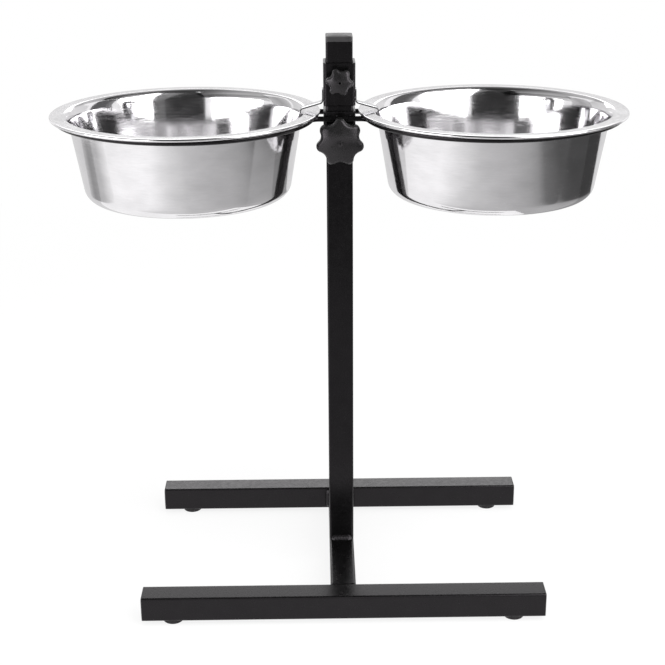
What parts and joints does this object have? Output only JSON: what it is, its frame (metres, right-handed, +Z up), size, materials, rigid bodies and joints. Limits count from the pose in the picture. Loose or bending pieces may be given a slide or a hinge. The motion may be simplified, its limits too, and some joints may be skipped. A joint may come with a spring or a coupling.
{
  "type": "adjustable double bowl stand",
  "caption": "Height-adjustable pet feeding stand: H-shaped tube base, square post, clamped sleeves, wire rings carrying steel bowls and sheet clips that hold them.",
  "frame": {"origin": "on the floor under the middle of the post", "axes": "+Z up along the post, +X along the crossbars towards the right bowl, the knobs face -Y"},
  "size_m": [0.544, 0.26, 0.55],
  "materials": {
    "black_powder_coat": "semi-gloss powder coat",
    "polished_steel": "mirror-polished stainless steel",
    "plated_steel": "bright zinc plate",
    "black_knob_plastic": "satin moulded plastic",
    "black_cap_plastic": "satin moulded plastic",
    "black_rubber": "matt moulded rubber"
  },
  "bodies": {
    "base": {"front_crossbar": "black_powder_coat", "rear_crossbar": "black_powder_coat", "centre_spar": "black_powder_coat", "post": "black_powder_coat", "base_welds": "black_powder_coat", "front_left_end_cap": "black_cap_plastic", "front_right_end_cap": "black_cap_plastic", "rear_left_end_cap": "black_cap_plastic", "rear_right_end_cap": "black_cap_plastic", "post_cap": "black_cap_plastic", "front_left_foot": "black_rubber", "front_right_foot": "black_rubber", "rear_left_foot": "black_rubber", "rear_right_foot": "black_rubber", "foot_screws": "plated_steel"},
    "ring_carrier": {"ring_sleeve": "black_powder_coat", "ring_sleeve_nut": "black_powder_coat", "left_ring": "black_powder_coat", "right_ring": "black_powder_coat", "ring_welds": "black_powder_coat"},
    "height_stud": {"height_knob_stud": "plated_steel"},
    "height_grip": {"height_knob": "black_knob_plastic"},
    "clip_carrier": {"clip_sleeve": "black_powder_coat", "clip_sleeve_nut": "black_powder_coat", "left_clip": "plated_steel", "right_clip": "plated_steel"},
    "clip_stud": {"clip_knob_stud": "plated_steel"},
    "clip_grip": {"clip_knob": "black_knob_plastic"},
    "left_dish": {"left_bowl": "polished_steel"},
    "right_dish": {"right_bowl": "polished_steel"}
  },
  "joints": [
    {"name": "height_slide", "type": "slide", "parent": "base", "child": "ring_carrier", "axis": [0, 0, 1], "range_m": [-0.392, 0.025]},
    {"name": "clip_lift", "type": "slide", "parent": "ring_carrier", "child": "clip_carrier", "axis": [0, 0, 1], "range_m": [0, 0.1]},
    {"name": "left_bowl_lift", "type": "slide", "parent": "ring_carrier", "child": "left_dish", "axis": [0, 0, 1], "range_m": [0, 0.0851]},
    {"name": "right_bowl_lift", "type": "slide", "parent": "ring_carrier", "child": "right_dish", "axis": [0, 0, 1], "range_m": [0, 0.0851]},
    {"name": "height_knob_advance", "type": "slide", "parent": "ring_carrier", "child": "height_stud", "axis": [0, -1, 0], "range_m": [0, 0.00251]},
    {"name": "height_knob_turn", "type": "hinge", "parent": "height_stud", "child": "height_grip", "pos_m": [0, -0.036, 0.4555], "axis": [0, -1, 0], "range_deg": [0, 720]},
    {"name": "clip_knob_advance", "type": "slide", "parent": "clip_carrier", "child": "clip_stud", "axis": [0, -1, 0], "range_m": [0, 0.00201]},
    {"name": "clip_knob_turn", "type": "hinge", "parent": "clip_stud", "child": "clip_grip", "pos_m": [0, -0.03, 0.51], "axis": [0, -1, 0], "range_deg": [0, 720]}
  ],
  "couplings": [
    {"joint": "left_bowl_lift", "follows": "clip_lift", "ratio": 0.85},
    {"joint": "right_bowl_lift", "follows": "clip_lift", "ratio": 0.85},
    {"joint": "height_knob_advance", "follows": "height_knob_turn", "m_per_rad": 0.00019894},
    {"joint": "clip_knob_advance", "follows": "clip_knob_turn", "m_per_rad": 0.00015915}
  ]
}
